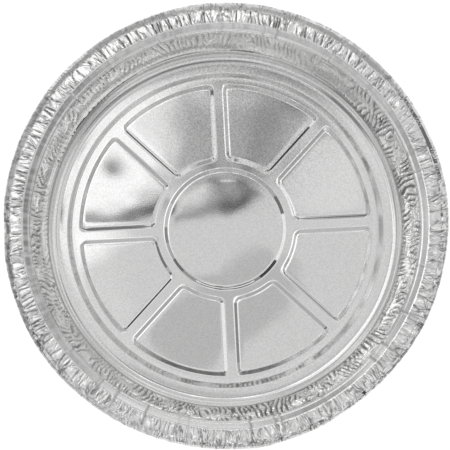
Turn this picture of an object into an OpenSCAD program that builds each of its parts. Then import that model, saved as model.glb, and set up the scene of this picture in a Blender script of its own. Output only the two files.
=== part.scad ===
// Round foil pie tin: an embossed base, a crinkled wall, a pleated flange and a rolled edge,
// all drawn from one sheet. Sizes are in mm, the axis is Z and the foot ring stands on z = 0.
// The base is turned exactly. Wall, step, flange and roll are one crumpled ring of facets.

/* [Overall] */
// Diameter over the rolled edge
outer_diameter = 228.6; // [190:0.2:270]
// Height from the underside of the foot to the top of the rolled edge
height = 38.6; // [28:0.2:50]
// Thickness of the sheet
sheet = 0.35; // [0.28:0.01:0.48]

/* [Rolled edge] */
// Diameter of the roll
roll_diameter = 3.4; // [2.8:0.1:4.4]
// How far the sheet curls round, in degrees
roll_turn = 305; // [240:5:320]

/* [Flange and step] */
// Width of the pleated flange between the step and the roll
flange_width = 6.6; // [5:0.1:10]
// Pleats round the flange
pleat_count = 144; // [96:6:162]
// Height of the strongest pleats
pleat_height = 0.75; // [0.2:0.05:1.1]
// Share of the pitch by which the creases stray from an even spacing
pleat_stray = 0.28; // [0:0.04:0.36]
// Height of the step below the flange
step_rise = 3; // [2:0.1:5]
// How far the riser of the step leans outwards
step_run = 1.9; // [1:0.1:3]
// Width of the ledge below the riser
ledge_width = 1.3; // [0.9:0.1:3]
// Height by which the ledge and the riser waver where long creases cross them
step_waver = 0.5; // [0:0.05:0.9]

/* [Wall] */
// Lean of the wall from upright, in degrees
wall_draft = 10.5; // [4:0.5:18]
// Inside radius of the corner between wall and foot
corner_radius = 5.5; // [3:0.1:9]
// Depth of the strongest crinkles
crinkle_depth = 1.1; // [0.2:0.05:1.4]
// Share of the crinkling that is left on the calm side
calm_share = 0.35; // [0.1:0.05:1]
// Direction of the calm side, in degrees from +X
calm_side = 80; // [0:5:355]

/* [Embossed base] */
// Flat width of the foot ring
foot_width = 4.5; // [2.5:0.1:8]
// Height of the ribs above the foot
field_rise = 1.5; // [0.8:0.1:3]
// Width of the slope from the foot up to the ribs
field_slope = 2.6; // [1.5:0.1:5]
// Width of the flat ring rib outside the panels
outer_rib = 3.7; // [2:0.1:7]
// Diameter of the flat top of the centre disc
disc_diameter = 61.6; // [44:0.2:80]
// Width of the flat ring rib round the centre disc
inner_rib = 3.7; // [2:0.1:7]
// Width of the flat spoke ribs
spoke_width = 4.7; // [2.5:0.1:8]
// Number of raised panels
panel_count = 8; // [5:1:9]
// Height of the panels and the disc above the ribs
panel_rise = 1.1; // [0.6:0.05:1.8]
// Width of the slope round each panel
panel_slope = 2.3; // [1.4:0.1:3.4]
// Corner radius of the flat top of a panel
panel_corner = 1.5; // [0.5:0.1:3]
// Turn of the whole pattern, in degrees
pattern_turn = 2.9; // [0:0.1:45]

/* [Dents of the rim] */
// Depth of the long flat dent in the outline of the rim
dent_depth = 1.4; // [0:0.1:3]
// Direction of the middle of the long dent, in degrees from +X
dent_side = -42; // [-180:1:180]
// Depth of the short dent near the left side, and half the bulge before it
short_dent = 0.8; // [0:0.1:2]
// Height by which the rim waves up and down
rim_wave = 0.4; // [0:0.05:1]

/* [Hidden] */
$fn = 96;
foil = [0.80, 0.81, 0.82];
seed = 38;

// Heights of the rim
roll_r = roll_diameter / 2;
roll_mid = roll_r - sheet / 2;
roll_z = height - roll_r;
flange_z = roll_z + roll_mid * sin(50);
ledge_z = flange_z - step_rise;

// Radii from the edge inwards, along the middle of the sheet
roll_x = outer_diameter / 2 - roll_r;
flange_end = roll_x - roll_r;
flange_start = flange_end - flange_width;
riser_foot = flange_start - step_run;
wall_top = riser_foot - ledge_width;

// Wall and corner, along the middle of the sheet
corner_mid = corner_radius + sheet / 2;
corner_z = corner_radius + sheet;
wall_low_z = corner_z - corner_mid * sin(wall_draft);
wall_low = wall_top - (ledge_z - wall_low_z) * tan(wall_draft);
foot_out = wall_low - corner_mid * cos(wall_draft);

// Base
foot_in = foot_out - foot_width;
field_out = foot_in - field_slope;
panel_out = field_out - outer_rib;
disc_r = disc_diameter / 2;
panel_in = disc_r + panel_slope + inner_rib;
field_z = field_rise + sheet / 2;
panel_z = field_z + panel_rise;

function unit(v) = v / norm(v);
function left_of(v) = [-v[1], v[0]];
function polar(r, a) = [r * cos(a), r * sin(a)];

// One bend of a path at point q between p and s, as an arc of radius r in n steps
function bend(p, q, s, r, n) =
    let (u = unit(p - q), v = unit(s - q), half = acos(u * v) / 2,
         c = q + unit(u + v) * r / sin(half), from = q + u * r / tan(half),
         a = from - c, turn = (180 - 2 * half) * (cross(a, q + v * r / tan(half) - c) < 0 ? -1 : 1))
    [for (i = [0:n]) let (w = turn * i / n) c + [a[0] * cos(w) - a[1] * sin(w), a[0] * sin(w) + a[1] * cos(w)]];

// A path with its inner points rounded
function rounded(path, r, n = 4) =
    let (last = len(path) - 1)
    concat([path[0]], [for (i = [1:last - 1]) for (q = bend(path[i - 1], path[i], path[i + 1], r, n)) q],
           [path[last]]);

// Offset of point i of a path, square to the sheet
function side(path, i) =
    let (last = len(path) - 1,
         a = left_of(unit(path[max(i, 1)] - path[max(i, 1) - 1])),
         b = left_of(unit(path[min(i, last - 1) + 1] - path[min(i, last - 1)])))
    (a + b) / (1 + a * b);

// Closed outline of a sheet of thickness t along a path
function ribbon(path, t) =
    let (last = len(path) - 1)
    concat([for (i = [0:last]) path[i] - side(path, i) * t / 2],
           [for (i = [last:-1:0]) path[i] + side(path, i) * t / 2]);

// Strip of facets from one loop to the next, where one may have three times the points of the other
function strip(p, np, q, nq) =
    np == nq ? [for (i = [0:np - 1])
        let (a = p + i, b = p + (i + 1) % np, c = q + (i + 1) % np, d = q + i)
        each i % 2 == (p + q) % 2 ? [[a, d, c], [a, c, b]] : [[a, d, b], [b, d, c]]]
    : np < nq ? [for (i = [0:np - 1])
        let (a = p + i, b = p + (i + 1) % np, f = [for (k = [0:3]) q + (3 * i + k) % nq])
        each i % 2 == 0 ? [[a, f[0], f[1]], [a, f[1], b], [b, f[1], f[2]], [b, f[2], f[3]]]
                        : [[a, f[0], f[1]], [a, f[1], f[2]], [a, f[2], b], [b, f[2], f[3]]]]
    : [for (i = [0:nq - 1])
        let (d = q + i, c = q + (i + 1) % nq, g = [for (k = [0:3]) p + (3 * i + k) % np])
        each i % 2 == 0 ? [[g[0], d, g[1]], [g[1], d, c], [g[1], c, g[2]], [g[2], c, g[3]]]
                        : [[g[0], d, g[1]], [g[1], d, g[2]], [g[2], d, c], [g[2], c, g[3]]]];

// Closed skin over a stack of loops, the last joined to the first
module skin(loops) {
    n = len(loops);
    from = [for (i = 0, at = 0; i < n; at = at + len(loops[i]), i = i + 1) at];
    polyhedron(points = [for (l = loops) each l],
               faces = [for (i = [0:n - 1]) let (k = (i + 1) % n)
                   each strip(from[i], len(loops[i]), from[k], len(loops[k]))],
               convexity = 12);
}

// Flat base as drawn from the sheet, with the corner up to the wall
module base_sheet() {
    path = rounded([[-1, panel_z], [disc_r, panel_z], [disc_r + panel_slope, field_z], [field_out, field_z],
                    [foot_in, sheet / 2], [foot_out, sheet / 2]], 0.8, 3);
    color(foil)
    rotate_extrude()
    union() {
        intersection() {
            polygon(ribbon(path, sheet));
            translate([0, -1]) square([foot_out, height]);
        }
        translate([foot_out, corner_z])
        intersection() {
            difference() {
                circle(r = corner_radius + sheet);
                circle(r = corner_radius);
            }
            polygon([[0, 0], [0, -2 * corner_z], [2 * corner_z, -2 * corner_z], 2 * polar(corner_z, -wall_draft)]);
        }
    }
}

// Half of a panel's outline, inner or outer, from one spoke to the next
corner_steps = 2;
arc_steps = 7;
function panel_chain(inset, outer) =
    let (c = panel_corner + panel_slope - inset, off = spoke_width / 2 + inset + c,
         r = outer ? panel_out - inset - c : panel_in + inset + c,
         edge = outer ? panel_out - inset : panel_in + inset,
         a = asin(off / r), sector = 360 / panel_count, centre = polar(r, a), mirror = polar(r, sector - a),
         from = -90, to = outer ? a : a - 180)
    concat([for (i = [0:corner_steps]) centre + polar(c, from + (to - from) * i / corner_steps)],
           [for (i = [1:arc_steps - 1]) polar(edge, a + (sector - 2 * a) * i / arc_steps)],
           [for (i = [0:corner_steps]) mirror + polar(c, sector - (to + (from - to) * i / corner_steps))]);

// Solid under a panel between two heights, each with its own inset
module panel_block(inset0, z0, inset1, z1) {
    inner = panel_chain(inset0, false);
    n = len(inner);
    function level(inset, z) = [for (outer = [false, true]) for (p = panel_chain(inset, outer)) [p[0], p[1], z]];
    caps = [for (i = [0:n - 2]) each [[i, n + i, n + i + 1], [i, n + i + 1, i + 1]]];
    loop = concat([for (i = [0:n - 1]) n + i], [for (i = [n - 1:-1:0]) i]);
    walls = [for (i = [0:2 * n - 1])
        let (a = loop[i], b = loop[(i + 1) % (2 * n)], top = 2 * n)
        each [[a, a + top, b + top], [a, b + top, b]]];
    polyhedron(points = concat(level(inset0, z0), level(inset1, z1)),
               faces = concat(caps, [for (f = caps) [f[0] + 2 * n, f[2] + 2 * n, f[1] + 2 * n]], walls),
               convexity = 4);
}

// Every panel, raised from the ribs by the same slope above and below the sheet
slope_run = panel_slope / panel_rise;
slope_shift = sheet * tan(atan(1 / slope_run) / 2);
module panel_tops() {
    low = sheet / 2;
    color(foil)
    for (k = [0:panel_count - 1])
        rotate(pattern_turn + k * 360 / panel_count)
        panel_block(-low * slope_run, field_z + sheet / 2 - low, panel_slope, panel_z + sheet / 2);
}
module panel_hollows() {
    low = 0.3;
    for (k = [0:panel_count - 1])
        rotate(pattern_turn + k * 360 / panel_count)
        panel_block(slope_shift - low * slope_run, field_z - sheet / 2 - low,
                    slope_shift + panel_slope, panel_z - sheet / 2);
}

module base() {
    difference() {
        union() {
            base_sheet();
            panel_tops();
        }
        panel_hollows();
    }
}

// Crumpled ring: every station has one path along the middle of the sheet, from a thin tongue
// inside the corner up the wall, over the step and the flange and round the roll
stations = 2 * pleat_count;
columns = stations / 3;
wall_levels = 5;
roll_steps = 6;
wall_dir = [sin(wall_draft), cos(wall_draft)];
wall_side = left_of(wall_dir);
wall_length = (ledge_z - wall_low_z) / cos(wall_draft);
wall_noise = rands(-1, 1, stations * (wall_levels + 3), seed);
column_noise = rands(-1, 1, stations, seed + 1);
pleat_noise = rands(0.35, 1, stations, seed + 2);
crease_noise = rands(-1, 1, stations, seed + 3);

function station_angle(i) = (i + pleat_stray * crease_noise[i]) * 360 / stations;
function lobe(a, half) = let (d = abs((a + 540) % 360 - 180)) d < half ? (1 + cos(180 * d / half)) / 2 : 0;
function strength(a) = 1 - (1 - calm_share) * pow(max(0, cos(a - calm_side)), 2);
function edge_shift(a) =
    short_dent * (0.6 * lobe(a + 150, 22) - lobe(a + 178, 9)) - dent_depth * lobe(a - dent_side, 36);
function edge_lift(a) = rim_wave / 2 * (cos(2 * a + 40) + 0.6 * cos(5 * a + 10) + 0.4 * cos(9 * a));
function noise(i, j) = wall_noise[i * (wall_levels + 3) + j];
function crinkle(i, j) =
    let (fold = floor(i / 3 + j / 2) % 2 == 0 ? 1 : -1)
    crinkle_depth / 2 * (j == 0 ? 0.25 : j == 1 ? 0.7 : 1) * strength(station_angle(i))
    * (0.45 * fold * (0.6 + 0.4 * column_noise[i]) + 0.55 * noise(i, j));
function pleat(i) = pleat_height / 2 * pleat_noise[i] * (i % 2 == 0 ? 1 : -1);

function sheet_path(i) =
    let (a = station_angle(i), out = edge_shift(a), up = edge_lift(a), lift = pleat(i),
         waver = step_waver / 2 * [noise(i, wall_levels), noise(i, wall_levels + 1)],
         centre = [roll_x + out, roll_z + up], start = 130)
    concat([[foot_out, corner_z] + corner_mid * [cos(wall_draft + 8), -sin(wall_draft + 8)]],
           [for (j = [0:wall_levels - 1])
               [wall_low, wall_low_z] + wall_dir * (1 + (wall_length - 1) * j / wall_levels)
               + wall_side * crinkle(i, j)],
           [[wall_top, ledge_z] + waver[0] * [0.6, 1], [riser_foot, ledge_z] + waver[1] * [-0.6, 1],
            [flange_start + 0.2 * out, flange_z + 0.5 * up + 0.45 * lift],
            [flange_end + 0.9 * out - 0.25 * flange_width, flange_z + 0.9 * up + lift]],
           [for (k = [0:roll_steps]) centre + polar(roll_mid, start - roll_turn * k / roll_steps)]);

module crumpled_ring() {
    paths = [for (i = [0:stations - 1]) sheet_path(i)];
    last = len(paths[0]) - 1;
    pleated = wall_levels + 3;
    function loop(k, way) = [for (i = [0:k == pleated || k == pleated + 1 ? 1 : 3:stations - 1])
        let (q = paths[i][k] + side(paths[i], k) * way * sheet / 2 * (k == 0 ? 0.5 : 1), a = station_angle(i))
        [q[0] * cos(a), q[0] * sin(a), q[1]]];
    color(foil)
    skin(concat([for (k = [0:last]) loop(k, -1)], [for (k = [last:-1:0]) loop(k, 1)]));
}

module tin() {
    base();
    crumpled_ring();
}

tin();
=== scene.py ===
"""Round foil pie tin on a pale floor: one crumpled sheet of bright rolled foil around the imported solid."""

import math

import bpy
import numpy as np
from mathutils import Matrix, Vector

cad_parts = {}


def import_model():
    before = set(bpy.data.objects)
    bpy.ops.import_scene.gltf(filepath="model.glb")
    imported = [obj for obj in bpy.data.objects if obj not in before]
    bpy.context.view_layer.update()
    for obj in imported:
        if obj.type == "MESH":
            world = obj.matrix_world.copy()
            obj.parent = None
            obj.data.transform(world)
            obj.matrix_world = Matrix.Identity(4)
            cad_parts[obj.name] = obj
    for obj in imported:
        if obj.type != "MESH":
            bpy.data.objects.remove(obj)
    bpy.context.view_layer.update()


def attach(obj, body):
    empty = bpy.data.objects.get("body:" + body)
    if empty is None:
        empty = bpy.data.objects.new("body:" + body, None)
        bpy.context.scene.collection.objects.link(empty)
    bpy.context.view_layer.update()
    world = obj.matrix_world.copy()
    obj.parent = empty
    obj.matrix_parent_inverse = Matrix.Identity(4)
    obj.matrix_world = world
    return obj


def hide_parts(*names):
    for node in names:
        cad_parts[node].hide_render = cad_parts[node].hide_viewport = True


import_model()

# Sizes of the tin in mm, as the solid has them. Radii and heights are of the middle of the sheet.
SHEET = 0.35
OUTER_R = 114.3
HEIGHT = 38.6
ROLL_R = 1.7
FLANGE_W = 6.6
STEP_RISE, STEP_RUN, LEDGE_W = 3.0, 1.9, 1.3
WALL_DRAFT = math.radians(10.5)
CORNER_R = 5.5
FOOT_W = 4.5
FIELD_RISE, FIELD_SLOPE = 1.5, 2.6
OUTER_RIB, INNER_RIB, SPOKE_W = 3.7, 3.7, 4.7
DISC_R = 30.8
PANELS = 8
PANEL_RISE, PANEL_SLOPE, PANEL_CORNER = 1.1, 2.3, 1.5
PATTERN_TURN = math.radians(2.9)
STEP_BEND = 0.6

ROLL_MID = ROLL_R - SHEET / 2
ROLL_Z = HEIGHT - ROLL_R
FLANGE_Z = ROLL_Z + ROLL_MID * math.sin(math.radians(50))
LEDGE_Z = FLANGE_Z - STEP_RISE
ROLL_X = OUTER_R - ROLL_R
FLANGE_END = ROLL_X - ROLL_R
FLANGE_START = FLANGE_END - FLANGE_W
RISER_FOOT = FLANGE_START - STEP_RUN
WALL_TOP = RISER_FOOT - LEDGE_W
CORNER_MID = CORNER_R + SHEET / 2
CORNER_Z = CORNER_R + SHEET
WALL_LOW_Z = CORNER_Z - CORNER_MID * math.sin(WALL_DRAFT)
WALL_LOW = WALL_TOP - (LEDGE_Z - WALL_LOW_Z) * math.tan(WALL_DRAFT)
FOOT_OUT = WALL_LOW - CORNER_MID * math.cos(WALL_DRAFT)
FOOT_IN = FOOT_OUT - FOOT_W
FIELD_OUT = FOOT_IN - FIELD_SLOPE
PANEL_OUT = FIELD_OUT - OUTER_RIB
PANEL_IN = DISC_R + PANEL_SLOPE + INNER_RIB
FOOT_Z = SHEET / 2
FIELD_Z = FIELD_RISE + SHEET / 2
PANEL_Z = FIELD_Z + PANEL_RISE

# Places of loops across a slope in mm: from where it starts, then from where it ends
SLOPE_START, SLOPE_END = (-0.45, -0.1, 0.35), (-0.35, 0.1, 0.45)
# Stations round the tin: the base has a fixed number to a sector, and the rim has four times as many
FLAT_CELLS = 9
HALF_SECTOR = 1 + len(SLOPE_START) + len(SLOPE_END) + FLAT_CELLS
BASE_STATIONS = 2 * PANELS * HALF_SECTOR
RIM_STATIONS = 4 * BASE_STATIONS
CORNER_LOOPS, WALL_LOOPS = 6, 12

# Tables by direction, in degrees clockwise from the photograph's top. How strongly the wall is crinkled, in its
# upper half and in its lower half
WALL_CRINKLES = [
    (0, 0.45, 0.03), (14, 0.42, 0.05), (30, 0.40, 0.08), (44, 0.80, 0.40), (65, 1.20, 1.20),
    (84, 1.20, 1.10), (95, 1.00, 0.90), (120, 0.90, 0.90), (145, 1.30, 1.40), (172, 1.40, 1.60),
    (200, 1.20, 1.30), (220, 0.80, 0.50), (245, 0.85, 0.60), (275, 0.80, 0.45), (300, 0.70, 0.35),
    (320, 0.65, 0.20), (345, 0.60, 0.05), (360, 0.45, 0.03),
]
# Strength of the pleats
PLEAT_STRENGTH = [
    (0, 1.0), (40, 0.9), (80, 0.75), (100, 0.5), (150, 0.45), (200, 0.55), (235, 0.8), (265, 0.95),
    (300, 1.0), (360, 1.0),
]
# Painted shade on the bent step: how dark it is
STEP_SHADE = [
    (0, 0.31), (35, 0.26), (60, 0.27), (85, 0.08), (130, 0.10), (155, 0.30), (175, 0.05), (215, 0.05),
    (240, 0.45), (270, 0.58), (300, 0.35), (330, 0.38), (360, 0.31),
]
# Painted shade on the panels' outer slopes: how dark they are
PANEL_SHADE = [
    (0, 0), (148, 0), (160, 0.50), (185, 0.72), (206, 0.65), (216, 0), (262, 0), (275, 0.15), (300, 0.15),
    (320, 0), (360, 0),
]
# Painted shade lines: how dark the line between corner and wall is, and the one where the foot ring turns up into
# the corner
CORNER_LINES = [
    (0, 0, 0.7), (20, 0.1, 0.35), (32, 0.4, 0.1), (40, 0.4, 0.8), (52, 0.5, 0.8), (62, 0.5, 0.1),
    (78, 0.5, 0.35), (90, 0.5, 0.3), (130, 0.5, 0.25), (142, 0.9, 0), (165, 0.9, 0), (174, 0.5, 0),
    (230, 0.5, 0), (285, 0.6, 0), (305, 0.3, 0.35), (325, 0, 0.7), (345, 0, 0.75), (360, 0, 0.7),
]
# How dull the corner is, each loop of the step, and the panels' outer slopes
CORNER_DULL, STEP_DULL, PANEL_DULL = 0.7, (0.35, 0.25, 0.8, 1.0, 0.5), 0.6
# How dull the outer slope of the embossed base is, by direction again
RING_DULL = [(0, 0.4), (60, 0.4), (78, 0.9), (125, 0.9), (150, 0.4), (360, 0.4)]
# How crumpled the rolled edge is, and how much speckled painted shade it gets by direction
ROLL_CRUMPLE = [
    (0, 0.15), (70, 0.3), (100, 0.8), (165, 0.9), (175, 1.4), (190, 0.9), (235, 0.5), (270, 0.4),
    (300, 0.2), (360, 0.15),
]
ROLL_SHADE = [
    (0, 0.26), (30, 0.22), (60, 0.10), (78, 0.32), (105, 0.32), (125, 0.10), (150, 0), (215, 0),
    (232, 0.40), (275, 0.42), (300, 0.36), (330, 0.18), (360, 0.26),
]
# How much wider the rolled edge is pressed, and how far it droops outward, in mm
ROLL_SPREAD = [
    (0, 1.4, 1.4), (28, 2.1, 1.9), (55, 1.4, 1.2), (82, 1.0, 0.7), (100, 0.2, 0), (120, 0.9, -0.4),
    (145, 0.2, -0.7), (195, 0.5, -0.7), (225, 0.5, -0.5), (248, 0, 0), (262, 0.2, 0.2), (285, 0.5, 0.5),
    (310, 1.3, 1.1), (340, 1.4, 1.3), (360, 1.4, 1.4),
]
# Dents of the rim's outline: direction, half width in degrees, outward shift in mm
RIM_DENTS = [(132, 36, -1.4), (172, 7, 0.7), (240, 22, 0.5), (268, 9, -0.8)]
# Slight kinks of the rim's outline: degrees between them, and outward shift in mm
KINK_GAP, KINK_SHIFT = (5, 15), (-0.24, 0.2)

# Wrinkles of the wall: depth in mm, pitch in degrees, and lean in pitches for each mm up, one way and the other
CRINKLE_DEPTH = 0.34
WALL_PITCH = 1.55
WALL_LEANS = (0.045, -0.05)
# Pleats: height in mm, stations from one to the next, stations that they run askew, and how deep their grooves are
PLEAT_HEIGHT = 0.60
PLEAT_GAPS = [2, 3, 3, 4, 4, 5]
PLEAT_LEAN, PLEAT_GROOVE = 3.0, 1.6
# Crumpling of the rolled edge in mm
ROLL_CRUMPLE_DEPTH = 0.22
# Middle of the sheet round the roll, from the flange over the top: x and z from the roll's centre, its top pressed
# slightly flat, and how far a point drops for each mm of droop
ROLL_SECTION = [(-1.38, 1.18, 0), (-1.05, 1.42, 0), (0.20, 0.98, 0.15), (1.32, 0.50, 0.31), (1.52, -0.15, 0.31),
                (0.95, -1.18, 0), (-0.35, -1.48, 0), (-1.32, -0.72, 0), (-1.50, 0.10, 0)]
# Loops of the step, and the flange's loops by their share of its width
STEP_LOOPS, FLANGE_AT = 6, (0.1, 0.38, 0.68, 0.95)
RIM_LOOPS = CORNER_LOOPS + WALL_LOOPS + STEP_LOOPS + len(FLANGE_AT) + len(ROLL_SECTION)
# Long creases across step and flange: share of the stations that have one, depth in mm, and how dark their painted
# shade is
CREASE_SHARE, CREASE_DEPTH, CREASE_DARK = 0.035, 0.20, 0.5
# Edges bent by more than this many degrees shade sharply
CREASE_ANGLE = 20
# Waves of the flat base: depth in mm, then the size of each wave in mm, its place in the noise and its share
BASE_WAVE = 0.05
BASE_WAVES = [(34, 50, 1.0), (15, 90, 0.45), (6, 90, 0.12)]
SEED = 38
MM = 0.001


def along(table, direction, column=1):
    """A column of a table by direction, in degrees clockwise from the photograph's top."""
    return np.interp(np.mod(direction, 360), [row[0] for row in table], [row[column] for row in table])


def direction_of(angle):
    """Direction in the photograph of a math angle in radians."""
    return 90 - np.degrees(angle)


def smooth(t):
    """0 to 1 as t goes from 0 to 1, with soft ends."""
    t = np.clip(t, 0, 1)
    return t * t * (3 - 2 * t)


def ramp(d, width, soft=0.3):
    """0 to 1 as d goes from 0 to width, straight between rounded ends."""
    t = np.linspace(-soft, width + soft, 400)
    flat = np.clip(t / width, 0, 1)
    kernel = np.hanning(int(800 * soft / (width + 2 * soft)) | 1)
    pad = len(kernel) // 2
    eased = np.convolve(np.pad(flat, pad, mode="edge"), kernel / kernel.sum(), mode="valid")
    return np.interp(d, t, eased)


def noise(x, y, seed, period=None):
    """Smooth value noise of two arrays in cells. Round the tin, the x period is the number of cells in a turn."""
    rng = np.random.default_rng(seed)
    size = 512
    values = rng.uniform(-1, 1, (size, size))
    x0, y0 = np.floor(x).astype(int), np.floor(y).astype(int)
    fx, fy = smooth(x - x0), smooth(y - y0)
    wrap = period or size

    def at(i, j):
        return values[np.mod(np.mod(i, wrap), size), np.mod(j, size)]

    low = at(x0, y0) * (1 - fx) + at(x0 + 1, y0) * fx
    high = at(x0, y0 + 1) * (1 - fx) + at(x0 + 1, y0 + 1) * fx
    return low * (1 - fy) + high * fy


def folds(gaps, seed, at, lean, groove):
    """Height over the rim's stations of flat faces with narrow grooves between them, a random one of gaps apart.
    Each groove leans by up to lean stations as at goes from 0 to 1, so that the faces run askew."""
    rng = np.random.default_rng(seed)
    places, heights, here = [], [], 0.0
    while here < RIM_STATIONS - max(gaps):
        place = here + at * lean * rng.uniform(-1, 1)
        places += [place, place + 0.9, place + 1.8]
        heights += [rng.uniform(-0.2, 1), -groove * rng.uniform(0, 1), rng.uniform(-0.2, 1)]
        here += rng.choice(gaps)
    order = np.argsort(places)
    return np.interp(np.arange(RIM_STATIONS), np.array(places)[order], np.array(heights)[order],
                     period=RIM_STATIONS)


def slope_places(start, width):
    """Places across a slope that starts here: its rounded ends have most of them."""
    return [start + d for d in SLOPE_START] + [start + width / 2] + [start + width + d for d in SLOPE_END]


def base_angles(r):
    """Angles of the base's stations at radius r: they follow the spokes' edges inside the panels' ring."""
    at = min(max(r, PANEL_IN - 2), PANEL_OUT)
    near = np.arcsin(np.array([0] + slope_places(SPOKE_W / 2, PANEL_SLOPE)) / at)
    half = math.pi / PANELS
    far = np.linspace(near[-1], half, FLAT_CELLS + 1)[1:]
    quarter = np.concatenate([near, far])
    sector = np.concatenate([quarter, 2 * half - quarter[-2:0:-1]])
    followed = np.concatenate([sector + 2 * half * k for k in range(PANELS)])
    even = np.arange(BASE_STATIONS) * 2 * math.pi / BASE_STATIONS
    share = float(smooth((r - PANEL_OUT - 1) / (FOOT_OUT - PANEL_OUT)))
    return followed * (1 - share) + even * share + PATTERN_TURN


def base_height(r, angle):
    """Height of the middle of the sheet on the embossed base."""
    z = PANEL_Z - PANEL_RISE * ramp(r - DISC_R, PANEL_SLOPE)
    z = z - (FIELD_Z - FOOT_Z) * ramp(r - FIELD_OUT, FIELD_SLOPE)
    sector = 2 * math.pi / PANELS
    local = np.abs(np.mod(angle - PATTERN_TURN + sector / 2, sector) - sector / 2)
    from_spoke = r * np.sin(local) - SPOKE_W / 2
    from_ring = np.minimum(r - PANEL_IN, PANEL_OUT - r)
    c = PANEL_CORNER + PANEL_SLOPE
    corner = c - np.hypot(np.maximum(c - from_spoke, 0), np.maximum(c - from_ring, 0))
    inset = np.where((from_spoke < c) & (from_ring < c), corner, np.minimum(from_spoke, from_ring))
    z = z + PANEL_RISE * ramp(inset, PANEL_SLOPE)
    x, y = r * np.cos(angle), r * np.sin(angle)
    wave = sum(share * noise(x / size + at, y / size + at, SEED + k)
               for k, (size, at, share) in enumerate(BASE_WAVES))
    return z + BASE_WAVE * wave * (1 - smooth((r - FIELD_OUT) / 7))


def base_radii():
    """Radii of the base's loops: close together on slopes and bends, wide apart on flats."""
    c = PANEL_CORNER + PANEL_SLOPE
    return (list(np.linspace(3.5, DISC_R - 0.45, 6)[:-1]) + slope_places(DISC_R, PANEL_SLOPE)
            + slope_places(PANEL_IN, PANEL_SLOPE) + [PANEL_IN + c - 0.5]
            + list(np.linspace(PANEL_IN + c, PANEL_OUT - c, 10)) + [PANEL_OUT - c + 0.5]
            + [2 * PANEL_OUT - r for r in slope_places(PANEL_OUT, PANEL_SLOPE)[::-1]]
            + slope_places(FIELD_OUT, FIELD_SLOPE) + [FOOT_OUT - 0.4])


def rim_shift(angle):
    """Outward shift of the rim's outline: dents, and straight stretches between slight kinks."""
    d = direction_of(angle)
    rng = np.random.default_rng(SEED + 5)
    kinks = np.cumsum(rng.uniform(*KINK_GAP, 60))
    kinks = kinks[kinks < 352]
    total = np.interp(np.mod(d, 360), kinks, rng.uniform(*KINK_SHIFT, len(kinks)), period=360)
    for at, half, size in RIM_DENTS:
        off = np.abs(np.mod(d - at + 180, 360) - 180)
        total = total + size * np.where(off < half, (1 + np.cos(math.pi * off / half)) / 2, 0)
    return total


def wall_strength(angle, up):
    """How strongly the wall is crinkled at a share of its height up."""
    d = direction_of(angle)
    share = smooth((up - 0.3) / 0.35)
    return along(WALL_CRINKLES, d, 1) * share + along(WALL_CRINKLES, d, 2) * (1 - share)


def wall_crinkle(angle, s, length):
    """Offset of the wall square to the sheet at distance s up from its foot, and how much painted shade a point
    gets for
    lying in a valley: upright ripples with sharp valleys, leaning one way here and the other way there, that
    meander and fade, and slower dents under them."""
    arc = np.mod(np.degrees(angle), 360)
    which = smooth(0.5 + 3 * noise(arc / 5, s / 9 + 3, SEED + 9, 72))
    total, painted_shade = 0, 0
    for k, lean in enumerate(WALL_LEANS):
        drift = 1.2 * noise(arc / 7.5 + 9 * k, s / 30 + 5, SEED + 7 + k, 48)
        drift = drift + 0.42 * noise(arc / 2.5, s / 12 + 9, SEED + 20 + k, 144)
        across = np.abs(np.sin(math.pi * (arc / WALL_PITCH + lean * (s - 12) + drift)))
        share = which if k else 1 - which
        total = total + (2 * across - 1) * share
        painted_shade = painted_shade + np.clip(1 - across / 0.7, 0, 1) * share
    patch = np.clip(0.72 + 1.9 * noise(arc / 3.6, s / 9 + 3, SEED + 11, 100), 0.05, 1.5)
    total, painted_shade = total * patch, painted_shade * np.clip(1.4 * patch, 0, 1)
    total = total + 0.9 * noise(arc / 8, s / 12 + 2, SEED + 18, 45)
    total = total + 0.3 * noise(arc / 3, s / 6 + 2, SEED + 19, 120)
    amount = smooth(s / 3.0) * smooth((length - s) / 3.5) * wall_strength(angle, s / length)
    return CRINKLE_DEPTH * amount * total, np.clip(2 * amount ** 1.5 * painted_shade, 0, 1)


def bend(before, corner, after, radius, n):
    """Points of an arc that rounds a corner of the path."""
    u = (before - corner) / np.linalg.norm(before - corner)
    v = (after - corner) / np.linalg.norm(after - corner)
    half = math.acos(float(u @ v)) / 2
    centre = corner + (u + v) / np.linalg.norm(u + v) * radius / math.sin(half)
    a, b = corner + u * radius / math.tan(half) - centre, corner + v * radius / math.tan(half) - centre
    t = np.linspace(0, 1, n + 1)
    mix = a[None] * (1 - t)[:, None] + b[None] * t[:, None]
    return centre + mix / np.linalg.norm(mix, axis=1)[:, None] * radius


def long_creases():
    """How much of a long crease across step and flange is at each of the rim's stations, 0 at most of them."""
    rng = np.random.default_rng(SEED + 13)
    crossing = (rng.random(RIM_STATIONS) < CREASE_SHARE) * rng.uniform(0.4, 1, RIM_STATIONS)
    return np.convolve(np.tile(crossing, 3), [0.3, 1, 0.4], "same")[RIM_STATIONS:-RIM_STATIONS]


def step_shade(d, on_riser, on_ledge):
    """How much painted shade the bent step gets: its riser everywhere, its ledge only where the riser is darkest,
    unevenly round the rim.
    """
    dark = along(STEP_SHADE, d)
    if not on_riser:
        dark = np.clip(2.4 * dark - 0.8, 0, 0.3) * on_ledge
    return dark * (1 + 0.35 * noise(d / 0.8, 0 * d, SEED + 23, 450))


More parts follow.
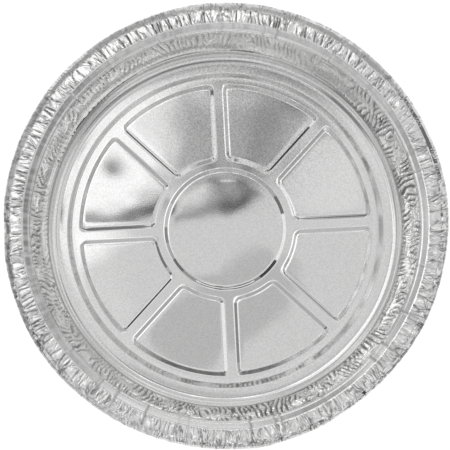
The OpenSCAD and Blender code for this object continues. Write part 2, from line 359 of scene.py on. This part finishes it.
def rim_loops(angle):
    """Loops [r, z, painted shade: in valleys, grooves and creases, and dark lines and bands by direction] over the
    rim's stations, from the corner up the wall, over step and flange, round the roll."""
    loops, d = [], direction_of(angle)
    # Painted dark lines on the corner, by direction
    lines = {1: along(CORNER_LINES, d, 2), CORNER_LOOPS - 1: along(CORNER_LINES, d, 1)}
    for k, t in enumerate(np.linspace(0.12, 1, CORNER_LOOPS)):
        a = -math.pi / 2 + t * (math.pi / 2 - WALL_DRAFT)
        loops.append((FOOT_OUT + CORNER_MID * math.cos(a), CORNER_Z + CORNER_MID * math.sin(a), lines.get(k, 0)))
    up = np.array([math.sin(WALL_DRAFT), math.cos(WALL_DRAFT)])
    length = (LEDGE_Z - WALL_LOW_Z) / math.cos(WALL_DRAFT) - STEP_BEND
    for s in np.linspace(0, length, WALL_LOOPS + 2)[1:-1]:
        off, painted_shade = wall_crinkle(angle, s, length)
        loops.append((WALL_LOW + up[0] * s - up[1] * off, WALL_LOW_Z + up[1] * s + up[0] * off, painted_shade))
    shift = rim_shift(angle)
    lift = 0.25 * noise(d / 24, np.zeros_like(d), SEED + 12, 15)
    crossing = long_creases()
    crease_down = -CREASE_DEPTH * crossing
    corner = [np.array(p, float) for p in ((WALL_TOP - up[0] * 4, LEDGE_Z - up[1] * 4), (WALL_TOP, LEDGE_Z),
                                           (RISER_FOOT, LEDGE_Z), (FLANGE_START, FLANGE_Z), (FLANGE_END, FLANGE_Z))]
    for k in (1, 2, 3):
        for j, p in enumerate(bend(corner[k - 1], corner[k], corner[k + 1], STEP_BEND, 1)):
            # Painted shade on the step and in the long creases across it
            share, dark = (k - 1) / 2, step_shade(d, (k, j) in ((2, 1), (3, 0)), k < 3)
            loops.append((p[0] + share * 0.4 * shift - 0.5 * crease_down, p[1] + share * lift + crease_down,
                          np.maximum(dark, CREASE_DARK * crossing)))
    strength = along(PLEAT_STRENGTH, d)
    for t in FLANGE_AT:
        wave = folds(PLEAT_GAPS, SEED + 14, t, PLEAT_LEAN, PLEAT_GROOVE)
        end = 0.75 if t < 0.2 or t > 0.9 else 1
        # Painted shade in the pleats' grooves and in the long creases
        loops.append((FLANGE_START + 0.5 + t * (FLANGE_W - 0.7) + (0.4 + 0.5 * t) * shift,
                      FLANGE_Z + lift + 0.5 * PLEAT_HEIGHT * strength * end * wave,
                      np.maximum(np.clip(-1.6 * wave, 0, 1) * strength, CREASE_DARK * crossing)))
    crumple = along(ROLL_CRUMPLE, d)
    spread, droop, dark = along(ROLL_SPREAD, d, 1), along(ROLL_SPREAD, d, 2), along(ROLL_SHADE, d)
    for k, (x, z, drop) in enumerate(ROLL_SECTION):
        x, z = x + spread * (x + 1.5) / 3, z - droop * drop
        row = np.full_like(d, 0.9 * k)
        slip = 0.9 * noise(d / 2.5, row + 4, SEED + 15, 144)
        outward = crumple * noise(d / 0.6 + 40 + slip, row, SEED + 16, 600)
        upward = crumple * noise(d / 0.9 + 7 - slip, row, SEED + 17, 400)
        amount = ROLL_CRUMPLE_DEPTH if k < 5 else 0.3 * ROLL_CRUMPLE_DEPTH
        # Painted shade on the roll: where its crumples dip in, and speckled bands by direction
        speck = np.clip(noise(d / 0.5, 3 * row, SEED + 24, 720), 0, 1)
        loops.append((ROLL_X + shift + x + amount * outward, ROLL_Z + lift + z + amount * upward,
                      0.35 * np.clip(-outward - upward, 0, 1) + dark * (0.4 + 1.6 * speck)))
    return [tuple(value + 0 * angle for value in loop) for loop in loops]


def dullness(loop):
    """How dull a loop of the rim is: the sheet was burnished where it bent round the corner and over the step."""
    if loop < CORNER_LOOPS:
        return CORNER_DULL * smooth(loop / 2)
    step = loop - CORNER_LOOPS - WALL_LOOPS
    return STEP_DULL[step] if 0 <= step < len(STEP_DULL) else 0.0


def slope_shade_and_dull(r, angle):
    """How much painted shade and how much dullness the base has: the panels' outer slopes get painted shade by
    direction, and they and the base's outer slope are dull, drawn over the die's edge.
    """
    sector = 2 * math.pi / PANELS
    local = np.abs(np.mod(angle - PATTERN_TURN + sector / 2, sector) - sector / 2)
    on_panel = smooth(r * np.sin(local) - SPOKE_W / 2 - 1) * (PANEL_OUT - PANEL_SLOPE + 0.2 < r < PANEL_OUT - 0.2)
    on_ring = FIELD_OUT - 0.5 < r < FIELD_OUT + FIELD_SLOPE + 0.5
    d = direction_of(angle)
    return along(PANEL_SHADE, d) * on_panel, PANEL_DULL * on_panel + along(RING_DULL, d) * on_ring


def crumple_share(angle, loop):
    """How much fine crumpling the material adds on a loop of the rim: fine folds, with painted shade at their
    bottoms.
    """
    if loop < CORNER_LOOPS:
        return 0 * angle
    if loop < CORNER_LOOPS + WALL_LOOPS:
        up = (loop - CORNER_LOOPS + 0.5) / WALL_LOOPS
        return np.clip(0.95 * wall_strength(angle, up), 0, 1.5) * smooth(up * 4)
    if loop < CORNER_LOOPS + WALL_LOOPS + STEP_LOOPS:
        return 0.1 + 0 * angle
    return 0.75 + 0.25 * np.clip(along(ROLL_CRUMPLE, direction_of(angle)), 0, 1)


def mid_sheet():
    """Points and faces of the middle of the sheet, seen from above, its open edge's points, and at each point the
    fine crumpling, its painted shade, and how dull it is."""
    points, faces = [np.array([[0.0, 0.0, float(base_height(np.array([0.01]), np.array([0.0]))[0])]])], []
    shares = [np.zeros((1, 3))]
    start = 1
    previous = None
    for r in base_radii():
        angle = base_angles(r)
        z = base_height(np.full_like(angle, r), angle)
        points.append(np.stack([r * np.cos(angle), r * np.sin(angle), z], 1))
        shares.append(np.stack([0 * angle, *slope_shade_and_dull(r, angle)], 1))
        this = start + np.arange(BASE_STATIONS)
        nxt = np.roll(this, -1)
        if previous is None:
            faces += [(0, a, b) for a, b in zip(this, nxt)]
        else:
            faces += list(zip(previous, this, nxt, np.roll(previous, -1)))
        previous = this
        start += BASE_STATIONS
    angle = np.arange(RIM_STATIONS) * 2 * math.pi / RIM_STATIONS + PATTERN_TURN
    for loop, (r, z, painted_shade) in enumerate(rim_loops(angle)):
        points.append(np.stack([r * np.cos(angle), r * np.sin(angle), z], 1))
        shares.append(np.stack([crumple_share(angle, loop), painted_shade, dullness(loop) + 0 * angle], 1))
        this = start + np.arange(RIM_STATIONS)
        nxt = np.roll(this, -1)
        if len(previous) == BASE_STATIONS:
            for i in range(BASE_STATIONS):
                a, b = previous[i], previous[(i + 1) % BASE_STATIONS]
                f = [this[(4 * i + k) % RIM_STATIONS] for k in range(5)]
                faces += [(a, f[0], f[1]), (a, f[1], f[2]), (a, f[2], b), (b, f[2], f[3]), (b, f[3], f[4])]
        else:
            faces += list(zip(previous, this, nxt, np.roll(previous, -1)))
        previous = this
        start += RIM_STATIONS
    return np.concatenate(points), faces, previous, np.concatenate(shares)


def normals(points, faces):
    """Normals of the points of a sheet, weighted by area."""
    total = np.zeros_like(points)
    for size in (3, 4):
        f = np.array([face for face in faces if len(face) == size])
        a, b, c = points[f[:, 0]], points[f[:, 1]], points[f[:, 2]]
        n = np.cross(b - a, c - a) if size == 3 else np.cross(c - a, points[f[:, 3]] - b)
        for k in range(size):
            np.add.at(total, f[:, k], n)
    return total / np.linalg.norm(total, axis=1)[:, None]


def keep_creases(mesh, count):
    """Creases of the sheet shade sharply, and corner, step and the loops round the roll smoothly."""
    mesh.polygons.foreach_set("use_smooth", [True] * len(mesh.polygons))
    mesh.set_sharp_from_angle(angle=math.radians(CREASE_ANGLE))
    ends = np.zeros(2 * len(mesh.edges), np.int32)
    mesh.edges.foreach_get("vertices", ends)
    loop = (count - 1 - np.mod(ends.reshape(-1, 2), count)) // RIM_STATIONS
    sharp = np.zeros(len(mesh.edges), bool)
    mesh.attributes["sharp_edge"].data.foreach_get("value", sharp)
    round_the_roll = (loop[:, 0] == loop[:, 1]) & (loop[:, 0] < len(ROLL_SECTION) - 3)
    flange_end = len(ROLL_SECTION) + len(FLANGE_AT)
    on_step = (loop[:, 0] == loop[:, 1]) & (loop[:, 0] >= flange_end) & (loop[:, 0] < flange_end + STEP_LOOPS)
    soft = round_the_roll | on_step | (np.max(loop, axis=1) >= RIM_LOOPS - CORNER_LOOPS)
    mesh.attributes["sharp_edge"].data.foreach_set("value", sharp & ~soft)


def foil_tin(material):
    """The tin: both sides of the sheet and the strip along its edge, as one closed mesh."""
    points, faces, edge, shares = mid_sheet()
    off = normals(points, faces) * SHEET / 2
    count = len(points)
    skin = list(faces) + [tuple(count + i for i in face[::-1]) for face in faces]
    skin += list(zip(edge, count + edge, count + np.roll(edge, -1), np.roll(edge, -1)))
    mesh = bpy.data.meshes.new("foil_tin")
    mesh.from_pydata((np.concatenate([points + off, points - off]) * MM).tolist(), [],
                     [tuple(int(i) for i in face) for face in skin])
    mesh.update()
    for k, name in enumerate(("crumple", "painted_shade", "dull")):
        layer = mesh.attributes.new(name, "FLOAT", "POINT")
        layer.data.foreach_set("value", np.tile(shares[:, k], 2).astype(np.float32))
    keep_creases(mesh, count)
    mesh.materials.append(material)
    tin = bpy.data.objects.new("foil_tin", mesh)
    bpy.context.scene.collection.objects.link(tin)
    return tin


class Nodes:
    """Short way to add and join the nodes of one tree."""

    def __init__(self, tree):
        self.tree = tree
        tree.nodes.clear()

    def add(self, kind, inputs=(), **settings):
        node = self.tree.nodes.new("ShaderNode" + kind)
        for name, value in settings.items():
            setattr(node, name, value)
        for name, value in dict(inputs).items():
            if hasattr(value, "links"):
                self.tree.links.new(value, node.inputs[name])
            else:
                node.inputs[name].default_value = value
        return node


# Grain of the foil: scale, depth in m, brightness of its darkest and its lightest grains
GRAIN_SCALE, GRAIN_DEPTH = 1300.0, 0.0000015
SPECKLE_SCALE, FOIL_DARK, FOIL_LIGHT = 1500.0, 0.82, (0.97, 0.97, 0.965, 1)
# Painted shade round a place on the base, where the darkest grains are darker: the place, how far this reaches in m
# and how dark its darkest grains are there
SHADED_GRAIN_AT, SHADED_GRAIN_REACH, SHADED_GRAIN_DARK = (0.012, 0.060, 0.0), (0.028, 0.058), 0.62
# Fine folds: width and length in m, depth in m, how sharp their edges are, how they sway, and size of their patches
FOLD_PITCH, FOLD_LENGTH, FOLD_DEPTH, FOLD_EDGE = 0.0016, 0.014, 0.00012, 0.09
FOLD_SWAY, FOLD_SWAY_SCALE, FOLD_PATCH_SCALE = 4.0, 120.0, 160.0
# Painted shade: brightness left at the bottom of a fine fold, and where the mesh's painted shade is full, in a
# valley or another dark line
FOLD_SHADE, VALLEY_SHADE = 0.30, 0.10
# Roughness of the bright foil and how much rougher a dull place is
GLOSS, GLOSS_PATCH_SCALE, DULL = (0.035, 0.055), 38.0, 0.30


def foil_material():
    """Bright rolled foil: a mirror with fine grain and uneven gloss. Where the sheet is crumpled, fine wrinkles
    run up the wall and out over the flange. Painted shade darkens its colour at the bottom of the wrinkles,
    wherever the mesh carries painted shade, and round one place of the base."""
    material = bpy.data.materials.new("bright_foil")
    material.use_nodes = True
    n = Nodes(material.node_tree)
    place = n.add("TexCoord").outputs["Object"]
    share = n.add("Attribute", attribute_name="crumple").outputs["Fac"]
    grain = n.add("TexNoise", {"Vector": place, "Scale": GRAIN_SCALE, "Detail": 1.0})
    bump = n.add("Bump", {"Height": grain.outputs["Fac"], "Strength": 1.0, "Distance": GRAIN_DEPTH})
    flat = n.add("VectorMath", {0: place, 1: (1.0, 1.0, 0.0)}, operation="MULTIPLY")
    radius = n.add("VectorMath", {0: flat.outputs["Vector"]}, operation="LENGTH").outputs["Value"]
    round_it = n.add("VectorMath", {0: flat.outputs["Vector"]}, operation="NORMALIZE")
    round_it = n.add("VectorMath", {0: round_it.outputs["Vector"], "Scale": OUTER_R * MM / FOLD_PITCH},
                     operation="SCALE")
    height = n.add("SeparateXYZ", {0: place}).outputs["Z"]
    reach = n.add("Math", {0: radius, 1: height}, operation="ADD")
    reach = n.add("Math", {0: reach.outputs[0], 1: FOLD_LENGTH}, operation="DIVIDE")
    upright = n.add("CombineXYZ", {"Z": reach.outputs[0]})
    wrinkle_place = n.add("VectorMath", {0: round_it.outputs["Vector"], 1: upright.outputs[0]}, operation="ADD")
    sway = n.add("TexNoise", {"Vector": place, "Scale": FOLD_SWAY_SCALE, "Detail": 0.0})
    wrinkle_place = n.add("VectorMath", {0: sway.outputs["Color"], 1: (FOLD_SWAY, FOLD_SWAY, 0.0),
                                         2: wrinkle_place.outputs["Vector"]}, operation="MULTIPLY_ADD")
    fold = n.add("TexNoise", {"Vector": wrinkle_place.outputs["Vector"], "Scale": 1.0, "Detail": 0.0})
    fold = n.add("Math", {0: fold.outputs["Fac"], 1: 0.5}, operation="SUBTRACT")
    fold = n.add("Math", {0: fold.outputs[0]}, operation="ABSOLUTE")
    fold = n.add("MapRange", {"Value": fold.outputs[0], "From Min": 0.0, "From Max": FOLD_EDGE})
    spread = n.add("TexNoise", {"Vector": place, "Scale": FOLD_PATCH_SCALE, "Detail": 0.0})
    spread = n.add("MapRange", {"Value": spread.outputs["Fac"], "From Min": 0.38, "From Max": 0.62})
    share = n.add("Math", {0: share, 1: spread.outputs["Result"]}, operation="MULTIPLY").outputs[0]
    # Painted shade at the bottom of the fine folds, where the sheet is crumpled
    painted_shade = n.add("Math", {0: 1.0, 1: fold.outputs["Result"]}, operation="SUBTRACT")
    painted_shade = n.add("Math", {0: painted_shade.outputs[0], 1: share}, operation="MULTIPLY")
    shade = n.add("MapRange", {"Value": painted_shade.outputs[0], "To Min": 1.0, "To Max": FOLD_SHADE}).outputs["Result"]
    # Painted shade that the mesh carries: valleys, grooves, creases, and dark lines and bands by direction
    mesh_shade = n.add("Attribute", attribute_name="painted_shade").outputs["Fac"]
    mesh_shade = n.add("MapRange", {"Value": mesh_shade, "To Min": 1.0, "To Max": VALLEY_SHADE}).outputs["Result"]
    shade = n.add("Math", {0: shade, 1: mesh_shade}, operation="MULTIPLY").outputs[0]
    fold = n.add("Math", {0: fold.outputs["Result"], 1: share}, operation="MULTIPLY")
    creased = n.add("Bump", {"Height": fold.outputs[0], "Strength": 1.0, "Distance": FOLD_DEPTH,
                             "Normal": bump.outputs["Normal"]})
    patches = n.add("TexNoise", {"Vector": place, "Scale": GLOSS_PATCH_SCALE, "Detail": 2.0})
    gloss = n.add("MapRange", {"Value": patches.outputs["Fac"], "From Min": 0.35, "From Max": 0.65,
                               "To Min": GLOSS[0], "To Max": GLOSS[1]})
    dull = n.add("Attribute", attribute_name="dull").outputs["Fac"]
    gloss = n.add("Math", {0: dull, 1: DULL, 2: gloss.outputs["Result"]}, operation="MULTIPLY_ADD")
    speckle = n.add("TexNoise", {"Vector": place, "Scale": SPECKLE_SCALE, "Detail": 2.0})
    speckle = n.add("MapRange", {"Value": speckle.outputs["Fac"], "From Min": 0.34, "From Max": 0.66})
    # Painted shade: the darkest grains are darker round one place of the base
    away = n.add("VectorMath", {0: place, 1: SHADED_GRAIN_AT}, operation="DISTANCE").outputs["Value"]
    dark = n.add("MapRange", {"Value": away, "From Min": SHADED_GRAIN_REACH[0], "From Max": SHADED_GRAIN_REACH[1],
                              "To Min": SHADED_GRAIN_DARK, "To Max": FOIL_DARK})
    tint = n.add("MixRGB", {0: speckle.outputs["Result"], 1: dark.outputs["Result"], 2: FOIL_LIGHT})
    # The painted shade darkens the base colour
    tint = n.add("VectorMath", {0: tint.outputs[0], "Scale": shade}, operation="SCALE")
    shader = n.add("BsdfPrincipled", {"Base Color": tint.outputs[0], "Metallic": 1.0,
                                      "Roughness": gloss.outputs[0], "Normal": creased.outputs["Normal"]})
    n.add("OutputMaterial", {"Surface": shader.outputs["BSDF"]})
    return material


def seen_directly(n):
    """1 where the camera, a mirror or glass looks at the surface, 0 for light that is spread."""
    path = n.add("LightPath")
    one = n.add("Math", {0: path.outputs["Is Camera Ray"], 1: path.outputs["Is Glossy Ray"]}, operation="MAXIMUM")
    either = n.add("Math", {0: one.outputs[0], 1: path.outputs["Is Transmission Ray"]}, operation="MAXIMUM")
    return either.outputs[0]


# Floor: its glow where it is seen directly, its colour and half its size in m
FLOOR_GLOW, FLOOR_COLOUR, FLOOR_HALF = 0.86, 0.34, 6.0
# World: how bright it is seen directly, and as light
WORLD_GLOW, WORLD_SPREAD = 1.0, 0.35


def floor():
    """White floor that keeps a faint shadow."""
    material = bpy.data.materials.new("floor")
    material.use_nodes = True
    n = Nodes(material.node_tree)
    glow = n.add("Math", {0: seen_directly(n), 1: FLOOR_GLOW}, operation="MULTIPLY")
    shade = n.add("BsdfDiffuse", {"Color": (FLOOR_COLOUR,) * 3 + (1,)})
    light = n.add("Emission", {"Color": (1, 1, 1, 1), "Strength": glow.outputs[0]})
    both = n.add("AddShader", {0: shade.outputs[0], 1: light.outputs[0]})
    n.add("OutputMaterial", {"Surface": both.outputs[0]})
    mesh = bpy.data.meshes.new("floor")
    half = FLOOR_HALF
    mesh.from_pydata([(-half, -half, 0), (half, -half, 0), (half, half, 0), (-half, half, 0)], [], [(0, 1, 2, 3)])
    mesh.materials.append(material)
    plane = bpy.data.objects.new("floor", mesh)
    bpy.context.scene.collection.objects.link(plane)


# The light tent round the tin: a ceiling and a round side. Lengths in m, directions in degrees clockwise from the
# photograph's top, brightness 1 for white
TENT_Z, TENT_R = 1.5, 1.5
CEILING_MID = (0.0, 0.115, TENT_Z)
# Brightness of the ceiling's middle and the least that it has anywhere
CEILING_GLOW, CEILING_LEAST = 0.66, 0.04
# Brightness of the ceiling's outer part and of its edge by direction, and the distances over which each begins
RIM_FROM, EDGE_FROM = (0.58, 0.76), (1.08, 1.22)
CEILING_RIM = [
    (0, 0.60), (40, 0.55), (62, 0.75), (92, 0.90), (148, 0.92), (180, 0.95), (198, 0.80), (215, 0.45),
    (235, 0.44), (262, 0.92), (275, 1.12), (312, 1.12), (335, 0.92), (360, 0.60),
]
CEILING_EDGE = [
    (0, 0.70), (60, 0.55), (90, 0.62), (120, 0.70), (145, 0.82), (157, 0.40), (168, 0.40), (173, 0.80),
    (181, 0.75), (184, 0.25), (190, 0.25), (193, 0.78), (204, 0.78), (214, 0.60), (240, 0.95), (265, 1.03),
    (310, 1.05), (340, 0.95), (360, 0.70),
]
# The flat base as the camera sees it mirrors the ceiling: m on the ceiling for each mm on the base
MIRROR = 0.00307
# Soft strokes on the ceiling, as the base mirrors them: points of a line on the base, half width and softness in
# mm, change of brightness. A line between two equal points is a round spot, and points off the base reach the part
# of the ceiling that the wall mirrors
STROKES = [
    ([(-117, 61), (-117, 61)], 86, 9, 0.40),
    ([(57, 28), (62, 48)], 20, 10, 0.08),
    ([(-34, 58), (-22, 52), (14, 52), (30, 56), (22, 44), (12, 38), (-20, 42)], 13, 8, -0.19),
    ([(20, 41), (22, 60)], 7, 8, -0.12),
    ([(4, 86), (32, 80), (58, 62)], 9, 8, -0.26),
    ([(-59.6, 33.9), (-59.6, 33.9)], 4.2, 5.5, -0.78),
    ([(-76, 4.8), (-62, 5.3), (-52, 8), (-44, 12.3), (-37, 17)], 2.2, 4.0, -0.95),
    ([(-31, 6), (-18, 10.4), (-8, 13), (1, 12), (10, 14), (15.4, 18.6), (21, 23)], 1.2, 4.0, -0.42),
    ([(-9, 31), (-7.5, 21), (-1, 15.5), (8.5, 15.5), (13, 23.5), (12, 30)], 1.6, 6.0, -0.22),
    ([(2, 22.5), (5, 22.5)], 7, 5, -0.16),
    ([(-7, 26.6), (1, 24.6), (9.5, 26.6)], 0.5, 1.8, -0.22),
    ([(-3.2, 28.2), (4.8, 28.2)], 1.0, 1.4, 0.75),
    ([(-22, 20), (-14, 24)], 3, 7, 0.12),
    ([(20, -32), (-18, -58)], 19, 4, -0.15),
    ([(-82, -30), (-70, -52)], 22, 14, 0.05),
    ([(242, 20), (250, -138), (163, -273), (0, -330)], 28, 22, -0.56),
    ([(-242, 6), (-170, 103), (-82, 147)], 18, 14, 0.18),
    ([(-30, 160), (90, 145)], 16, 12, 0.15),
    ([(105, 19), (101, -37), (69, -82), (19, -105), (-37, -101), (-61, -88)], 9, 8, 0.12),
    ([(-318, -10), (-300, 70), (-261, 146)], 25, 15, 0.30),
]
# Strip lights this far under the ceiling: direction, distance, half width across, half length along it, brightness
STRIPS_UNDER = 0.02
STRIPS = [
    (278, 0.375, 0.075, 0.050, 1.15), (303, 0.375, 0.070, 0.050, 1.2), (328, 0.375, 0.075, 0.050, 1.2),
    (353, 0.375, 0.070, 0.050, 1.15), (18, 0.375, 0.075, 0.050, 1.1), (42, 0.375, 0.065, 0.045, 1.05),
    (248, 0.375, 0.060, 0.040, 1.0), (132, 0.375, 0.075, 0.040, 1.0), (200, 0.375, 0.075, 0.040, 1.05),
    (300, 0.600, 0.020, 0.060, 1.9), (318, 0.550, 0.022, 0.060, 1.9), (334, 0.510, 0.022, 0.060, 2.0),
    (352, 0.480, 0.024, 0.060, 2.0), (10, 0.480, 0.024, 0.060, 2.0), (28, 0.500, 0.022, 0.060, 1.9),
]
# The round side, over the height SIDE_MIDDLE and from there down to SIDE_FOOT: the direction that a stretch begins
# at, counted on past 360, and its brightness
SIDE_MIDDLE, SIDE_FOOT = 0.92, 0.03
SIDE_HIGH = [
    (345, 0.52), (380, 0.45), (412, 0.18), (430, 0.90), (477, 0.06), (501, 0.26), (510, 0.15), (567, 0.32),
    (588, 0.16), (604, 0.42), (622, 0.26), (637, 0.55), (660, 0.42),
]
SIDE_LOW = [
    (0, 0.80), (20, 0.95), (32, 0.60), (50, 0.85), (84, 0.55), (112, 0.45), (135, 0.90), (150, 0.75), (176, 0.85),
    (200, 0.70), (228, 0.90), (240, 0.50), (268, 0.80), (280, 0.50), (310, 1.00), (322, 0.50), (346, 0.82),
]
# A paler screen before the side's near stretch: from and to a direction and a height, brightness, distance
SIDE_NEAR = (148, 212, 0.90, 1.32, 0.85, 1.48)


def glowing(name, strength):
    """Material that only glows. strength is a number or a function of the node maker."""
    material = bpy.data.materials.new(name)
    material.use_nodes = True
    n = Nodes(material.node_tree)
    light = n.add("Emission", {"Color": (1, 1, 1, 1), "Strength": strength(n) if callable(strength) else strength})
    n.add("OutputMaterial", {"Surface": light.outputs[0]})
    return material


def stage_piece(name, points, faces, material):
    """A piece of the tent: foil mirrors it and is lit by it, and the camera doesn't see it."""
    mesh = bpy.data.meshes.new(name)
    mesh.from_pydata(points, [], faces)
    mesh.materials.append(material)
    piece = bpy.data.objects.new(name, mesh)
    bpy.context.scene.collection.objects.link(piece)
    piece.visible_camera = False


def toward(direction, distance, z):
    """The point at a height, in a direction clockwise from the photograph's top."""
    a = math.radians(90 - direction)
    return (distance * math.cos(a), distance * math.sin(a), z)


def by_direction(n, turn, table):
    """Brightness from a table by direction, where turn is 0 to 1 round the tent."""
    node = n.add("ValToRGB", {"Fac": turn})
    for k, (direction, glow) in enumerate(table):
        stop = node.color_ramp.elements[k] if k < 2 else node.color_ramp.elements.new(direction / 360)
        stop.position, stop.color = direction / 360, (glow, glow, glow, 1)
    return node.outputs["Color"]


def distance_to(n, place, start, way):
    """Distance of a place from the stroke that goes from start along way."""
    from_start = n.add("VectorMath", {0: place, 1: start}, operation="SUBTRACT").outputs["Vector"]
    share = n.add("VectorMath", {0: from_start, 1: way / max(way.length_squared, 1e-9)},
                  operation="DOT_PRODUCT").outputs["Value"]
    share = n.add("Math", {0: share, 1: 0.0}, operation="ADD", use_clamp=True).outputs[0]
    near = n.add("VectorMath", {0: way, "Scale": share}, operation="SCALE").outputs["Vector"]
    return n.add("VectorMath", {0: from_start, 1: near}, operation="DISTANCE").outputs["Value"]


def ceiling():
    """Large soft ceiling, uneven as a lit tent is. Its underside is what the flat foil mirrors."""
    def strength(n):
        place = n.add("TexCoord").outputs["Object"]
        away = n.add("VectorMath", {0: place, 1: CEILING_MID}, operation="DISTANCE").outputs["Value"]
        part = n.add("SeparateXYZ", {0: place}).outputs
        turn = n.add("Math", {0: part["X"], 1: part["Y"]}, operation="ARCTAN2").outputs[0]
        turn = n.add("Math", {0: turn, 1: 2 * math.pi}, operation="DIVIDE").outputs[0]
        turn = n.add("Math", {0: turn}, operation="FRACT").outputs[0]
        rim, edge = by_direction(n, turn, CEILING_RIM), by_direction(n, turn, CEILING_EDGE)
        value = CEILING_GLOW
        for outside, (start, end) in ((rim, RIM_FROM), (edge, EDGE_FROM)):
            share = n.add("MapRange", {"Value": away, "From Min": start, "From Max": end},
                          interpolation_type="SMOOTHSTEP").outputs["Result"]
            value = n.add("Mix", {"Factor": share, "A": value, "B": outside}).outputs["Result"]
        for line, half, soft, change in STROKES:
            nearest = None
            for (x, y), (x2, y2) in zip(line, line[1:]):
                start = Vector((x * MIRROR, y * MIRROR, 0)) + Vector(CEILING_MID)
                away = distance_to(n, place, start, Vector(((x2 - x) * MIRROR, (y2 - y) * MIRROR, 0)))
                if nearest:
                    away = n.add("Math", {0: nearest, 1: away}, operation="MINIMUM").outputs[0]
                nearest = away
            step = n.add("MapRange", {"Value": nearest, "From Min": max(0, half - soft / 2) * MIRROR,
                                      "From Max": (half + soft) * MIRROR, "To Min": change, "To Max": 0.0},
                         interpolation_type="SMOOTHSTEP")
            value = n.add("Math", {0: step.outputs["Result"], 1: value}, operation="ADD").outputs[0]
        return n.add("Math", {0: value, 1: CEILING_LEAST}, operation="MAXIMUM").outputs[0]
    ring = [toward(d, TENT_R, TENT_Z) for d in range(0, 360, 5)]
    stage_piece("ceiling", ring, [tuple(range(len(ring)))], glowing("ceiling", strength))


def strips():
    """Strip lights that give foil its bright and dark streaks."""
    for k, (direction, distance, across, along_it, glow) in enumerate(STRIPS):
        middle = Vector(toward(direction, distance, -STRIPS_UNDER)) + Vector(CEILING_MID)
        out = Vector(toward(direction, 1, 0))
        aside = Vector((out.y, -out.x, 0))
        corners = [middle + aside * across * u + out * along_it * v
                   for u, v in ((-1, -1), (-1, 1), (1, 1), (1, -1))]
        stage_piece("strip_%d" % k, corners, [(0, 1, 2, 3)], glowing("strip_%d" % k, glow))


def side(name, start, end, low, high, glow, distance=TENT_R):
    """An upright stretch of the tent between two directions."""
    stops = np.linspace(start, end, max(2, int((end - start) / 5) + 1))
    points = [toward(d, distance, z) for z in (low, high) for d in stops]
    n = len(stops)
    stage_piece(name, points, [(i, i + 1, i + n + 1, i + n) for i in range(n - 1)], glowing(name, glow))


def sides():
    """The round side of the tent, in stretches of different brightness."""
    for name, stretches, low, high in (("high", SIDE_HIGH, SIDE_MIDDLE, TENT_Z),
                                       ("low", SIDE_LOW, SIDE_FOOT, SIDE_MIDDLE)):
        for k, (start, glow) in enumerate(stretches):
            end = stretches[k + 1][0] if k + 1 < len(stretches) else stretches[0][0] + 360
            side("side_%s_%d" % (name, k), start, end, low, high, glow)
    side("side_near", *SIDE_NEAR)


def world():
    """White to the camera and in mirrors, and a weak even light on everything."""
    w = bpy.data.worlds.new("world")
    bpy.context.scene.world = w
    w.use_nodes = True
    n = Nodes(w.node_tree)
    strength = n.add("MapRange", {"Value": seen_directly(n), "To Min": WORLD_SPREAD, "To Max": WORLD_GLOW})
    back = n.add("Background", {"Color": (1, 1, 1, 1), "Strength": strength.outputs["Result"]})
    n.add("OutputWorld", {"Surface": back.outputs[0]})


# Camera, fitted to the circles of rim and base in the photograph
CAMERA_UP = math.radians(85.46)
CAMERA_AWAY = 0.688
LENS, SENSOR = 107.2, 36
FRAME_PX = 450
CENTRE_PX = (225.28, 223.65)
TARGET = Vector((0, 0, 0.038))


def camera():
    """Camera at the photograph's viewing angle, shifted to put the tin where its frame has it."""
    data = bpy.data.cameras.new("camera")
    data.lens = LENS
    data.sensor_width = SENSOR
    data.shift_x = (FRAME_PX / 2 - CENTRE_PX[0]) / FRAME_PX
    data.shift_y = (CENTRE_PX[1] - FRAME_PX / 2) / FRAME_PX
    data.clip_start, data.clip_end = 0.01, 50
    cam = bpy.data.objects.new("camera", data)
    back = Vector((0, -math.cos(CAMERA_UP), math.sin(CAMERA_UP)))
    cam.location = TARGET + back * CAMERA_AWAY
    cam.rotation_euler = (math.pi / 2 - CAMERA_UP, 0, 0)
    bpy.context.scene.collection.objects.link(cam)
    bpy.context.scene.camera = cam


tin = foil_tin(foil_material())
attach(tin, "root")
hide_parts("tin")
floor()
ceiling()
strips()
sides()
world()
camera()
bpy.context.scene.view_settings.view_transform = "Standard"
